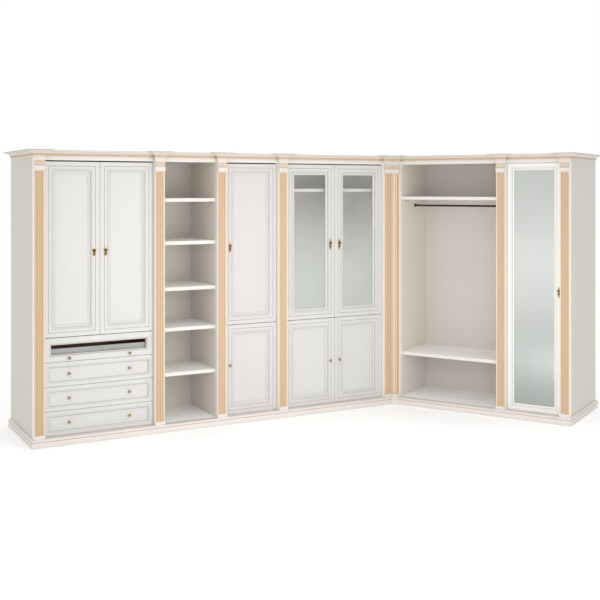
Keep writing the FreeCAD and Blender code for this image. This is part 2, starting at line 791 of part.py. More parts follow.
def handle_plate():
    """Upright plate with four discs, a turned knob and a pendant between the middle ones."""
    knob_z = dim.plate_height * 0.15
    drop_z = dim.plate_height * -0.17
    end_z = dim.plate_height * 0.43
    at = (dim.plate_width / -2, -dim.plate_thickness, -end_z)
    extent = (dim.plate_width, dim.plate_thickness, 2 * end_z)
    pieces = [block("handle_back", here, at, extent)]
    discs = (
        ("finial", dim.rosette_radius * 0.58, end_z),
        ("rosette", dim.rosette_radius, knob_z),
        ("boss", dim.rosette_radius * 0.8, drop_z),
        ("foot", dim.rosette_radius * 0.5, -end_z),
    )
    for name, radius, level in discs:
        disc = doc.addObject("Part::Cylinder", f"handle_{name}")
        bind(disc, Radius=radius, Height=dim.plate_thickness * 1.3)
        disc.Placement.Rotation = FreeCAD.Rotation(FreeCAD.Vector(1, 0, 0), 90)
        pieces.append(stand(f"handle_{name}_place", [disc], here, (0, 0, level)))
    pieces.append(copy("handle_knob", knob, here, (0, 0, knob_z)))
    pendant_v = dim.knob_length * -0.4
    stem = doc.addObject("Part::Cone", "handle_stem")
    top_radius = dim.drop_radius * 0.45
    bind(stem, Radius1=dim.drop_radius, Radius2=top_radius, Height=knob_z - drop_z)
    here.seat(stem, 0, pendant_v, drop_z)
    drop = doc.addObject("Part::Cone", "handle_drop")
    bind(drop, Radius1=top_radius, Radius2=dim.drop_radius, Height=-drop_z)
    here.seat(drop, 0, pendant_v, 2 * drop_z)
    return fuse("handle", pieces + [stem, drop])


handle = handle_plate()


def frame_section(width, inner, lined, rebated):
    """Frame across one side: flat face, bead and ogee, with or without its line and rebate."""
    bead_start = width - inner
    bead_end = bead_start + inner * 0.28
    step = bead_end + inner * 0.12
    line = [
        (0, dim.line_inset - dim.line_half),
        (dim.line_depth, dim.line_inset),
        (0, dim.line_inset + dim.line_half),
    ]
    seat = [
        (dim.rebate_front, width),
        (dim.rebate_front, width - dim.rebate),
        (dim.door_thickness, width - dim.rebate),
    ]
    return [
        (dim.door_thickness, 0),
        (0, 0),
        *(line if lined else []),
        (0, bead_start, inner * -0.18),
        (0, bead_end),
        (0, step),
        (dim.step_depth, step, inner * 0.72),
        (dim.panel_drop, width),
        *(seat if rebated else [(dim.door_thickness, width)]),
    ]


def moulded_frame(name, width, height, border, inner, lined=False, rebated=True):
    """Mitred frame standing on its bottom edge, the middle of that edge at the origin."""
    half = width / 2
    path = [(0, 0), (half, 0), (half, height), (-half, height), (-half, 0), (0, 0)]
    profile = outline(f"{name}_profile", frame_section(border, inner, lined, rebated), 0)
    route = doc.addObject("Sketcher::SketchObject", f"{name}_path")
    draw(route, path, closed=False)
    route.Placement.Rotation = FreeCAD.Rotation(FreeCAD.Vector(1, 0, 0), 90)
    sweep = doc.addObject("Part::Sweep", f"{name}_sweep")
    sweep.Sections = [profile]
    sweep.Spine = (route, [f"Edge{index + 1}" for index in range(len(path) - 1)])
    sweep.Solid = True
    sweep.Transition = "Right corner"
    return sweep


def infill(name, place, width, height, border, front, thickness):
    """Panel or pane lying in the rebate of a frame."""
    run, u, z = place
    margin = border - dim.rebate + dim.panel_play
    at = (u - width / 2 + margin, front, z + margin)
    return block(name, run, at, (width - 2 * margin, thickness, height - 2 * margin))


# Doors: bay, leaf of the bay, level, hinge side, infill, handle or knob.
half_leaf = {bay: (CLEAR[bay] - 3 * dim.door_gap) / 2 for bay in ("drawer", "glass")}
LEAVES = {}
for bay, leaf in half_leaf.items():
    LEAVES[bay, "first"] = (dim.door_gap, leaf)
    LEAVES[bay, "second"] = (2 * dim.door_gap + leaf, leaf)
for bay in ("panel", "mirror"):
    LEAVES[bay, "whole"] = (dim.door_gap, CLEAR[bay] - 2 * dim.door_gap)
lower_foot = bottom_inside + dim.door_gap
LEVELS = {
    "upper": (dim.split_height + dim.split_gap / 2, top_inside - dim.top_gap),
    "lower": (lower_foot, dim.split_height - dim.split_gap / 2),
    "full": (lower_foot, top_inside - dim.door_gap),
}
DOORS = [
    ("drawer_bay_left_door", "drawer", "first", "upper", "left", "panel", "handle"),
    ("drawer_bay_right_door", "drawer", "second", "upper", "right", "panel", "handle"),
    ("single_upper_door", "panel", "whole", "upper", "right", "panel", "handle"),
    ("single_lower_door", "panel", "whole", "lower", "right", "panel", "knob"),
    ("glass_left_door", "glass", "first", "upper", "left", "glass", "handle"),
    ("glass_right_door", "glass", "second", "upper", "right", "glass", "handle"),
    ("glass_bay_lower_left_door", "glass", "first", "lower", "left", "panel", "knob"),
    ("glass_bay_lower_right_door", "glass", "second", "lower", "right", "panel", "knob"),
    ("mirror_door", "mirror", "whole", "full", "left", "mirror", "handle"),
]
# Middle of each handle or knob as a share of the carcass height.
UPPER_GRIP = 0.6662
GRIPS = {("mirror", "full"): 0.4959, ("panel", "lower"): 0.2175, ("glass", "lower"): 0.2003}
bore_radius = dim.pin_radius + dim.pin_play
pivots = []
plates = {}
for name, bay, leaf, level, hinge, fill, grip in DOORS:
    run = RUN[bay]
    offset, width = LEAVES[bay, leaf]
    low, high = LEVELS[level]
    mirrored = fill == "mirror"
    border = dim.mirror_frame if mirrored else dim.door_frame
    inner = dim.mirror_moulding if mirrored else dim.door_moulding
    inset = dim.mirror_grip_inset if mirrored else dim.grip_inset
    height = high - low
    middle = START[bay] + offset + width / 2
    place = (run, middle, low)
    swing = 1 if hinge == "left" else -1
    to_hinge = (dim.pivot_inset - width / 2) * swing
    bore_length = dim.bore_depth + dim.door_gap
    at_low = (to_hinge, dim.pivot_setback, -dim.door_gap)
    at_high = (to_hinge, dim.pivot_setback, height - dim.bore_depth)
    bores = [
        post(f"{name}_bore_low", here, at_low, bore_radius, bore_length),
        post(f"{name}_bore_high", here, at_high, bore_radius, bore_length),
    ]
    frame = moulded_frame(f"{name}_moulding", width, height, border, inner, not mirrored)
    bored = cut(f"{name}_bored", frame, stand(f"{name}_bores", bores, here, (0, 0, 0)))
    node(f"{name}_frame", [stand(f"{name}_place", [bored], run, (middle, 0, low))])
    filling = (place, width, height, border, dim.rebate_front)
    pane = dim.pane_thickness
    if fill == "panel":
        node(f"{name}_panel", [infill(f"{name}_board", *filling, dim.panel_thickness)])
    if fill == "glass":
        node(f"{name}_pane", [infill(f"{name}_glass", *filling, pane)])
    if mirrored:
        node(f"{name}_glass", [infill(f"{name}_silvered", *filling, pane)])
        behind = (place, width, height, border, dim.rebate_front + pane)
        node(f"{name}_backing", [infill(f"{name}_board", *behind, pane)])
    at = (
        middle + (width / 2 - inset) * swing,
        0,
        dim.carcass_height * GRIPS.get((bay, level), UPPER_GRIP),
    )
    original = knob if grip == "knob" else handle
    node(f"{name}_{grip}", [copy(f"{name}_grip", original, run, at)])

    # Each door turns on a pin below and one above; plates carry those at the split.
    pivot = (middle + to_hinge, dim.pivot_setback)
    if level != "upper":
        reach = dim.door_gap + dim.pin_length
        at = (*pivot, bottom_inside)
        collar = post(f"{name}_collar_low", run, at, dim.flange_radius, dim.flange)
        stem = post(f"{name}_pin_low", run, at, dim.pin_radius, reach)
        pivots.append(fuse(f"{name}_pivot_low", [collar, stem]))
    if level != "lower":
        at = (*pivot, top_inside - dim.flange)
        collar = post(f"{name}_collar_high", run, at, dim.flange_radius, dim.flange)
        foot = high - dim.pin_length
        stem = post(f"{name}_pin_high", run, (*pivot, foot), dim.pin_radius, top_inside - foot)
        pivots.append(fuse(f"{name}_pivot_high", [collar, stem]))
    length = dim.split_gap / 2 + dim.pin_length
    if level == "upper":
        stem = post(f"{name}_pin_split", run, (*pivot, dim.split_height), dim.pin_radius, length)
        at = (pivot[0] - dim.flange_radius, 0, dim.split_height - dim.tongue / 2)
        extent = (2 * dim.flange_radius, divider_front, dim.tongue)
        plates[bay, hinge] = [stem, block(f"{name}_tongue", run, at, extent)]
    if level == "lower":
        at = (*pivot, dim.split_height - length)
        plates[bay, hinge].append(post(f"{name}_pin_split", run, at, dim.pin_radius, length))
for (bay, hinge), pieces in plates.items():
    pivots.append(fuse(f"{bay}_{hinge}_plate", pieces))
node("pivot_pins", pivots)

# Drawers: moulded fronts on open boxes, each box on a pair of runners.
DRAWERS = ("top_drawer", "second_drawer", "third_drawer", "bottom_drawer")
pitch = (dim.split_height - lower_foot) / len(DRAWERS)
KNOB_SHARE = 0.275
drawer_depth = dim.carcass_depth - dim.door_thickness - dim.drawer_clear
run, start, clear = RUN["drawer"], START["drawer"], CLEAR["drawer"]
front_width = clear - 2 * dim.door_gap
middle = start + clear / 2
runners = []
height = pitch - dim.door_gap
for index, name in enumerate(DRAWERS):
    low = dim.split_height - pitch * (index + 1)
    glazed = name == "top_drawer"
    border = dim.window_frame if glazed else dim.drawer_frame
    inner = dim.window_moulding if glazed else dim.drawer_moulding
    front = moulded_frame(
        f"{name}_moulding", front_width, height, border, inner, rebated=not glazed
    )
    knob_v = as_size(0)
    knob_z = low + (border - inner) * 0.6
    if not glazed:
        edge = border - dim.rebate
        at = (edge - front_width / 2, dim.panel_drop, edge)
        extent = (front_width - 2 * edge, dim.door_thickness - dim.panel_drop, height - 2 * edge)
        front = fuse(f"{name}_board", [front, block(f"{name}_field", here, at, extent)])
        knob_v = dim.panel_drop
        knob_z = low + height / 2
    node(f"{name}_front", [stand(f"{name}_place", [front], run, (middle, 0, low))])
    knobs = []
    for side in (-1, 1):
        at = (middle + side * KNOB_SHARE * clear, knob_v, knob_z)
        knobs.append(copy(f"{name}_knob", knob, run, at))
    node(f"{name}_knobs", knobs)
    box_low = low + dim.drawer_lift
    box_width = clear - 2 * dim.drawer_side_gap
    box_height = height - dim.drawer_head
    wall = dim.drawer_wall
    at = (start + dim.drawer_side_gap, dim.door_thickness, box_low)
    outer = block(f"{name}_outer", run, at, (box_width, drawer_depth, box_height))
    inside = (start + dim.drawer_side_gap + wall, dim.door_thickness + wall, box_low + dim.drawer_floor)
    extent = (box_width - 2 * wall, drawer_depth - 2 * wall, box_height)
    tray = cut(f"{name}_tray", outer, block(f"{name}_hollow", run, inside, extent))
    if glazed:
        # The box is open behind the window, with a glass strip across the lower half.
        sill = low + border
        at = (middle + border - front_width / 2, dim.door_thickness, sill)
        gap = (front_width - 2 * border, wall, height - 2 * border)
        tray = cut(f"{name}_window", tray, block(f"{name}_gap", run, at, gap))
        strip = (box_width - 2 * wall, dim.pane_thickness, sill + dim.strip_rise - inside[2])
        node(f"{name}_pane", [block(f"{name}_strip", run, inside, strip)])
    node(f"{name}_box", [tray])
    runner_z = box_low - dim.runner_gap - dim.runner_height
    for runner_u in (start, start + clear - dim.runner_width):
        at = (runner_u, divider_front, runner_z)
        extent = (dim.runner_width, drawer_depth, dim.runner_height)
        runners.append(block(f"{name}_runner", run, at, extent))
node("drawer_runners", runners)

doc.recompute()
for piece in doc.Objects:
    faults = [state for state in piece.State if state in ("Invalid", "Error")]
    if faults:
        raise RuntimeError(f"{piece.Label} did not build: {faults}")
os.makedirs("parts", exist_ok=True)
for group in nodes:
    if group.Shape.isNull() or not group.Shape.isValid():
        raise RuntimeError(f"{group.Label} has no valid shape")
    solids = group.Shape.Solids
    shape = solids[0] if len(solids) == 1 else Part.makeCompound(solids)
    shape.exportStep(f"parts/{group.Label}.step")
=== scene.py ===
import json
import math
from collections import namedtuple

import bpy
from bpy.props import FloatProperty, FloatVectorProperty, PointerProperty
from bpy.types import Operator, Panel, PropertyGroup
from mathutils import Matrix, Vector


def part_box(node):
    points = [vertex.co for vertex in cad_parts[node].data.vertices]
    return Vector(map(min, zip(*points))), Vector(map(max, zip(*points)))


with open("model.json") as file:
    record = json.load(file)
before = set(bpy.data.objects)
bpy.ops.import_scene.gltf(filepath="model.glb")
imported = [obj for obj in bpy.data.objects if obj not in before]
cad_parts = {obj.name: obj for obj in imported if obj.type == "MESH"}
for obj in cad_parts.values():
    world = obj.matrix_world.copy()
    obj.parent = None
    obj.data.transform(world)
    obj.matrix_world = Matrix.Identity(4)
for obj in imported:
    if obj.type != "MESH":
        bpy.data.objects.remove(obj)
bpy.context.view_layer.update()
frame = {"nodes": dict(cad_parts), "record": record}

bl_info = {
    "name": "Corner wardrobe finishes",
    "version": (1, 1, 0),
    "blender": (4, 5, 0),
    "location": "View3D > Sidebar > Wardrobe",
    "description": "Lacquer, glass, mirror and brass for a corner wardrobe, with a studio stage",
    "category": "Object",
}

# Directions of the two runs in the part's own frame: out of each front, and along it.
RIGHT_TURN = math.radians(30)
LEFT_FRONT = Vector((1, 0, 0))
LEFT_ALONG = Vector((0, 1, 0))
RIGHT_FRONT = Vector((math.sin(RIGHT_TURN), -math.cos(RIGHT_TURN), 0))
RIGHT_ALONG = Vector((math.cos(RIGHT_TURN), math.sin(RIGHT_TURN), 0))
UP = Vector((0, 0, 1))
# Door fronts to the faces of the panels and panes that they hold.
PANEL_SET = 0.012
# Outer edge of a front that takes no painted shade on its walls.
RIM = 0.01
# Depths behind the door fronts, below zero before them: from the beads of a front to its face, the
# walls of its moulding, and on the facings the flutes, the beads and the quirks beside the beads.
# The walls, the flutes and the quirks take painted shade.
FACE_DEPTH = (-0.0004, 0.0004)
WALL_DEPTH = (0.0004, 0.0124)
FLUTE_DEPTH = (-0.0498, -0.0488)
BEAD_DEPTH = (-0.0458, -0.0456)
QUIRK_DEPTH = (-0.0433, -0.0427)
# How far before the door fronts the handles turn from brass to bronze.
BRONZE_RISE = (0.006, 0.016)
# Heights on the plinth.
PLINTH_GROOVE = (0.0432, 0.0488)
SCUFF_TOP = 0.025
# Heights above the foot of the cornice: its gilded line, and where tan turns to darker gold in it
# towards the crown, as painted shade.
GILT_LINE = (0.0085, 0.0285)
GOLD_SHADE_RISE = (0.01, 0.026)
# Depths below the top: the rim of the cornice, which takes a painted shadow line, and the span
# over which the painted reflection on the panes grows.
CORNICE_TOP_SHADE = (0.002, 0.0035)
REFLECTION_DROP = (0.12, 0.95)
# Outer skin of the end panels, which takes the darker end colour as painted shade.
END_SKIN = (0.001, 0.004)
# Shares of the height: the reeds of the capitals, and the brightest place of the painted
# reflection on the mirror.
REEDS = (0.43, 0.77)
MIRROR_BRIGHT = 0.6
# Cosines of a surface to the front: square to it, flat in it, and the front edges of boards.
SQUARE = (0.02, 0.15)
FLAT = (0.6, 0.985)
FRONT_EDGE = (0.9, 0.99)
# Cosines of a surface to the upright from which it counts as level.
LEVEL = (0.3, 0.7)
# Levels of noise: where bronze shows through on brass, and where a rail is rubbed bare.
TARNISH = (0.35, 0.65)
RUBBED = (0.55, 0.8)
# Stretch of the pores along upright boards.
UPRIGHT = (1, 1, 16)
# Sensor of the camera in millimetres, and how far it sees in metres.
SENSOR = 36
SIGHT = 200
# Soft lights, in metres: where each stands, the point that it looks at, and its side.
Lamp = namedtuple("Lamp", "name at aim side")
KEY = Lamp("key", (2.6, -0.7, 1.3), (-0.2, -0.6, 0.4), 1.6)
FILL = Lamp("fill", (2.7, -2.0, 3.9), (-0.2, 0.1, 0.8), 1.4)


def reach(name, direction):
    """How far a CAD node goes in a direction."""
    return max(direction.dot(vertex.co) for vertex in frame["nodes"][name].data.vertices)


LEFT_PLANE = reach("drawer_bay_left_door_panel", LEFT_FRONT) + PANEL_SET
RIGHT_PLANE = reach("mirror_door_glass", RIGHT_FRONT) + PANEL_SET
# Each run: out of its front, along it, and where its door fronts stand.
Run = namedtuple("Run", "front along plane")
LEFT_RUN = Run(LEFT_FRONT, LEFT_ALONG, LEFT_PLANE)
RIGHT_RUN = Run(RIGHT_FRONT, RIGHT_ALONG, RIGHT_PLANE)


def srgb(red, green, blue):
    """Linear colour of an 8-bit display colour."""

    def linear(level):
        level /= 255
        return level / 12.92 if level <= 0.04045 else ((level + 0.055) / 1.055) ** 2.4

    return tuple(linear(level) for level in (red, green, blue))


def colour(name, description, *levels):
    """Colour property with a display colour as its default."""
    return FloatVectorProperty(
        name=name,
        description=description,
        default=srgb(*levels),
        min=0,
        max=1,
        size=3,
        subtype="COLOR",
    )


class WARDROBE_PG_colours(PropertyGroup):
    """Colours of the wardrobe and its stage."""

    ivory: colour("Ivory", "Lacquer on doors and drawers", 203, 202, 198)
    rose: colour("Rose", "Warmer lacquer on the single doors", 203, 198, 196)
    # Painted light: a paler copy of the ivory lacquer, put on the mirror door.
    bright: colour("Bright", "Paler lacquer on the mirror door", 227, 226, 222)
    # Grey for glazing, scuffs and random tone, and for the painted shade in the door mouldings and
    # along the top of the cornice.
    glaze_and_shade: colour("Glaze", "Grey glaze left in the mouldings", 100, 96, 90)
    white: colour("White", "Lacquer on the sides of the columns", 238, 235, 228)
    cream: colour("Cream", "Lacquer on cornice, capitals, bases and plinth", 214, 208, 201)
    tan: colour("Tan", "Lacquer on the fluted facings", 204, 180, 151)
    # Painted shade: a darker copy of the tan, laid in the flutes.
    flute_shade: colour("Flute", "Lacquer in the flutes", 189, 160, 128)
    bead: colour("Bead", "Beads along the facings", 230, 215, 187)
    # Gold for the gilded line of the cornice and the groove of the plinth, and painted shade in
    # the quirks of the facings and on the slopes of the capitals.
    gold: colour("Gold", "Dark gold in quirks and grooves", 184, 146, 104)
    carcass: colour("Carcass", "Boards inside the bays", 222, 215, 206)
    # Painted shade: a darker colour for the outer faces of the ends.
    end: colour("End panels", "Outer faces of the two ends", 199, 195, 186)
    edge: colour("Edges", "Front edges of boards and shelves", 216, 213, 207)
    # Painted light: a lighter copy of the carcass board for the shelves and the bench.
    shelf: colour("Shelves", "Shelves and bench", 245, 245, 243)
    # Painted light: the lightest copy of the carcass board, for the bottom boards.
    bottom: colour("Bottoms", "Bottom boards, cleaner than the rest", 251, 251, 250)
    back: colour("Back", "Back panels", 197, 190, 184)
    drawer: colour("Drawer box", "Varnished drawer boxes", 196, 160, 116)
    heart: colour("Heartwood", "Dark grain of the drawer boxes", 150, 112, 76)
    brass: colour("Brass", "Plates and rims of the furniture", 196, 164, 112)
    bronze: colour("Bronze", "Dark knobs and pendants", 78, 58, 34)
    # Pale colour of the panes, laid on thicker towards their bottom as a painted reflection.
    glass: colour("Glass", "Haze on the panes", 206, 211, 207)
    satin: colour("Satin glass", "Glass strip of the top drawer", 150, 154, 151)
    mirror: colour("Mirror", "Silvering of the mirror", 222, 224, 221)
    # Painted shade on the mirror towards its ends.
    mirror_shade: colour("Mirror shade", "Duller silvering towards its ends", 165, 171, 167)
    rail: colour("Rail", "Coat of the clothes rails", 52, 42, 36)
    steel: colour("Steel", "Pins and runners", 160, 160, 162)
    plastic: colour("Plastic", "Feet and pegs", 70, 68, 66)
    floor: colour("Floor", "Studio floor", 226, 226, 226)
    sky: colour("Sky", "Light of the room", 255, 255, 255)


class WARDROBE_PG_sizes(PropertyGroup):
    """Measures of the surface and of the stage."""

    pore: FloatProperty(
        name="Pore",
        description="Width of the pores under the lacquer",
        default=0.0016,
        unit="LENGTH",
    )
    grain: FloatProperty(
        name="Grain",
        description="Width of the grain in bare wood",
        default=0.02,
        unit="LENGTH",
    )
    eye: FloatVectorProperty(
        name="Eye",
        description="Place of the camera",
        default=(7.0882, -4.1021, 1.9682),
        subtype="TRANSLATION",
        unit="LENGTH",
    )
    heading: FloatProperty(
        name="Heading",
        description="Turn of the level camera about the upright",
        default=math.radians(61.577),
        subtype="ANGLE",
    )
    lens: FloatProperty(
        name="Lens",
        description="Focal length on a 36 mm sensor, in millimetres",
        default=58.5,
    )
    shift: FloatProperty(
        name="Shift",
        description="Upright shift of the lens as a share of the picture",
        default=-0.187,
    )
    floor: FloatProperty(
        name="Floor",
        description="Side of the studio floor",
        default=60,
        unit="LENGTH",
    )
    glow: FloatProperty(
        name="Floor glow",
        description="Light that the floor gives by itself",
        default=0.25,
    )
    key: FloatProperty(
        name="Key light",
        description="Power of the main soft light",
        default=38,
        unit="POWER",
    )
    fill: FloatProperty(
        name="Fill light",
        description="Power of the second soft light",
        default=10,
        unit="POWER",
    )
    room: FloatProperty(
        name="Room light",
        description="Strength of the light from all round",
        default=1,
    )


class Wire:
    """Output of a shader node that takes part in arithmetic."""

    def __init__(self, graph, socket):
        self.graph = graph
        self.socket = socket

    def maths(self, operation, first, second):
        """Result of a Math node."""
        return self.graph.node("ShaderNodeMath", {0: first, 1: second}, operation=operation)

    def __add__(self, other):
        return self.maths("ADD", self, other)

    def __radd__(self, other):
        return self.maths("ADD", other, self)

    def __sub__(self, other):
        return self.maths("SUBTRACT", self, other)

    def __rsub__(self, other):
        return self.maths("SUBTRACT", other, self)

    def __mul__(self, other):
        return self.maths("MULTIPLY", self, other)

    def __rmul__(self, other):
        return self.maths("MULTIPLY", other, self)

    def larger(self, other):
        """The larger of two values."""
        return self.maths("MAXIMUM", self, other)


class Graph:
    """Node tree of one material."""

    def __init__(self, name):
        self.material = bpy.data.materials.new(name)
        self.material.use_nodes = True
        self.tree = self.material.node_tree
        self.shader = self.tree.nodes["Principled BSDF"]

    def node(self, kind, inputs=None, output=0, **settings):
        """Makes a node, feeds its inputs and returns one of its outputs."""
        made = self.tree.nodes.new(kind)
        for key, value in settings.items():
            setattr(made, key, value)
        for key, value in (inputs or {}).items():
            self.feed(made.inputs[key], value)
        return Wire(self, made.outputs[output])

    def feed(self, socket, value):
        """Links a wire to a socket, or sets the socket's own value."""
        if isinstance(value, Wire):
            self.tree.links.new(value.socket, socket)
        elif socket.type == "RGBA":
            socket.default_value = (*value[:3], 1)
        else:
            socket.default_value = value

    def place(self):
        """Position in the part's frame, which moves with its piece."""
        return self.node("ShaderNodeTexCoord", output="Object")

    def normal(self):
        """Surface normal in the part's frame."""
        return self.node("ShaderNodeTexCoord", output="Normal")

    def along(self, direction):
        """Position along a direction."""
        return self.dot(self.place(), direction)

    def dot(self, vector, direction):
        """Length of a vector in a direction."""
        inputs = {0: vector, 1: tuple(direction)}
        return self.node("ShaderNodeVectorMath", inputs, output="Value", operation="DOT_PRODUCT")

    def depth(self):
        """Distance behind the door fronts of the nearer run, below zero before them."""
        left = LEFT_PLANE - self.along(LEFT_FRONT)
        return left.larger(RIGHT_PLANE - self.along(RIGHT_FRONT))

    def fronting(self):
        """1 where a surface looks straight out of either front."""
        normal = self.normal()
        return self.dot(normal, LEFT_FRONT).larger(self.dot(normal, RIGHT_FRONT))

    def ramp(self, value, low, high):
        """Smooth step from 0 at low to 1 at high."""
        inputs = {"Value": value, "From Min": low, "From Max": high}
        return self.node("ShaderNodeMapRange", inputs, interpolation_type="SMOOTHSTEP")

    def band(self, value, low, high, soft):
        """1 between two values, with soft edges."""
        rise = self.ramp(value, low - soft, low + soft)
        return rise * (1 - self.ramp(value, high - soft, high + soft))

    def inside(self, name, direction):
        """1 on a CAD node but for a rim at both of its ends in a direction."""
        first, last = -reach(name, -direction), reach(name, direction)
        return self.band(self.along(direction), first + RIM, last - RIM, soft=0.001)

    def noise(self, size, detail=3, stretch=(1, 1, 1)):
        """Noise from 0 to 1 with features of a size in metres."""
        scaled = tuple(1 / (size * share) for share in stretch)
        inputs = {0: self.place(), 1: scaled}
        vector = self.node("ShaderNodeVectorMath", inputs, operation="MULTIPLY")
        return self.node("ShaderNodeTexNoise", {"Vector": vector, "Scale": 1, "Detail": detail})

    def mix(self, share, first, second):
        """Colour between two colours."""
        inputs = {0: share, 6: first, 7: second}
        return self.node("ShaderNodeMix", inputs, output=2, data_type="RGBA")

    def finish(self, base, roughness, bump=None, depth=0.0001, **constants):
        """Feeds the shader; constants are socket names with underscores for spaces."""
        self.feed(self.shader.inputs["Base Color"], base)
        self.feed(self.shader.inputs["Roughness"], roughness)
        if bump is not None:
            inputs = {"Height": bump, "Distance": depth, "Strength": 0.6}
            self.feed(self.shader.inputs["Normal"], self.node("ShaderNodeBump", inputs))
        for key, value in constants.items():
            self.feed(self.shader.inputs[key.replace("_", " ")], value)


def paint(graph, names):
    """Puts a material on the slots of CAD nodes."""
    if not names:
        raise ValueError(f"{graph.material.name} found no pieces")
    for name in names:
        for slot in frame["nodes"][name].material_slots:
            slot.material = graph.material


def in_slot(slot):
    """Names of the CAD nodes that take a slot of the record."""
    return [part["node"] for part in frame["record"]["subparts"] if part["material_slot"] == slot]


class Lacquer(Graph):
    """Satin lacquer over upright pores."""

    def __init__(self, name, sizes, base, cloud):
        super().__init__(name)
        self.pores = self.noise(sizes.pore, stretch=UPRIGHT)
        self.tint = self.mix(self.noise(size=0.35) * 0.06, base, cloud)
        self.rough = 0.45 + 0.12 * self.pores

    def turned(self):
        """1 where a moulding turns away from the front, 0 on faces flat in it or square to it."""
        front = self.fronting()
        return self.ramp(front, *SQUARE) * (1 - self.ramp(front, *FLAT))

    def coat(self, tint, weight=0.12):
        """Closes the lacquer with its clear coat."""
        clear = {"Coat_Weight": weight, "Coat_Roughness": 0.4}
        self.finish(tint, self.rough, self.pores, depth=0.00012, **clear)


class WARDROBE_OT_doors(Operator):
    """Ivory lacquer on doors and drawer fronts, with grey glazing and painted shade in their
    mouldings
    """

    bl_idname = "wardrobe.doors"
    bl_label = "Doors and drawer fronts"
    bl_options = {"REGISTER", "UNDO"}

    def execute(self, context):
        colours = context.scene.wardrobe_colours
        sizes = context.scene.wardrobe_sizes
        # The mirror door takes a paler copy of the ivory as painted light.
        tones = {"single": colours.rose, "mirror": colours.bright}
        for name in in_slot("ivory_lacquer"):
            if "door" not in name and "drawer" not in name:
                continue
            kind = name.split("_")[0]
            tone = tones.get(kind, colours.ivory)
            run = RIGHT_RUN if kind == "mirror" else LEFT_RUN
            lacquer = Lacquer(f"{name}_lacquer", sizes, tone, colours.glaze_and_shade)
            glaze_and_shade = self.glaze_and_shade(lacquer, name, run)
            lacquer.coat(lacquer.mix(glaze_and_shade, lacquer.tint, colours.glaze_and_shade))
            paint(lacquer, [name])
        return {"FINISHED"}

    def glaze_and_shade(self, lacquer, name, run):
        """Share of grey glazing and painted shade: some on slopes, more on beads, most on the
        walls of the moulding, where it stands for the shadow in the rebates.
        """
        facing = lacquer.dot(lacquer.normal(), run.front)
        depth = run.plane - lacquer.along(run.front)
        inside = lacquer.inside(name, run.along) * lacquer.inside(name, UP)
        square = 1 - lacquer.ramp(facing, *SQUARE)
        # Painted shade on the upright walls of the moulding and the rebates, standing for their
        # shadow.
        walls = square * inside * lacquer.band(depth, *WALL_DEPTH, soft=0.0003)
        # Painted shade on the moulding slopes that turn away from the front.
        slopes = (1 - square) * (1 - lacquer.ramp(facing, *FLAT))
        bead = 1 - lacquer.ramp(depth, *FACE_DEPTH)
        return (slopes * (0.4 + 0.35 * bead)).larger(walls * 0.9)


class WARDROBE_OT_pilasters(Operator):
    """White columns with tan lands, cream bases, and capitals with tan reeds and painted shade in
    gold on their moulding slopes
    """

    bl_idname = "wardrobe.pilasters"
    bl_label = "Columns, bases and capitals"
    bl_options = {"REGISTER", "UNDO"}

    def execute(self, context):
        colours = context.scene.wardrobe_colours
        sizes = context.scene.wardrobe_sizes
        lacquer = Lacquer("white_columns", sizes, colours.white, colours.glaze_and_shade)
        lands = lacquer.ramp(lacquer.fronting(), *FRONT_EDGE)
        lacquer.coat(lacquer.mix(lands * 0.8, lacquer.tint, colours.tan))
        paint(lacquer, ["pilaster_columns"])
        lacquer = Lacquer("cream_bases", sizes, colours.cream, colours.glaze_and_shade)
        lacquer.coat(lacquer.tint)
        paint(lacquer, ["pilaster_bases"])
        lacquer = Lacquer("capitals", sizes, colours.cream, colours.glaze_and_shade)
        low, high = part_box("capitals")
        foot, head = (low.z + share * (high.z - low.z) for share in REEDS)
        reeds = lacquer.band(lacquer.along(UP), foot, head, soft=0.001)
        tint = lacquer.mix(reeds * 0.5, lacquer.tint, colours.tan)
        # Painted shade: moulding slopes that turn away from the front are darkened towards gold.
        lacquer.coat(lacquer.mix(lacquer.turned() * 0.4, tint, colours.gold))
        paint(lacquer, ["capitals"])
        return {"FINISHED"}


class WARDROBE_OT_facings(Operator):
    """Tan lacquer on the fluted facings, with painted shade in the flutes and the quirks, and pale
    beads
    """

    bl_idname = "wardrobe.facings"
    bl_label = "Fluted facings"
    bl_options = {"REGISTER", "UNDO"}

    def execute(self, context):
        colours = context.scene.wardrobe_colours
        sizes = context.scene.wardrobe_sizes
        lacquer = Lacquer("tan_facings", sizes, colours.tan, colours.flute_shade)
        depth = lacquer.depth()
        bead = lacquer.ramp(depth, *BEAD_DEPTH)
        # Painted shade in the quirks beside the beads.
        quirk_painted_shade = lacquer.band(depth, *QUIRK_DEPTH, soft=0.0002)
        # Painted shade in the flutes.
        flute_painted_shade = lacquer.ramp(depth, *FLUTE_DEPTH)
        tint = lacquer.mix(flute_painted_shade, lacquer.tint, colours.flute_shade)
        tint = lacquer.mix(bead, tint, colours.bead)
        lacquer.coat(lacquer.mix(quirk_painted_shade * 0.8, tint, colours.gold))
        paint(lacquer, ["pilaster_facings"])
        return {"FINISHED"}


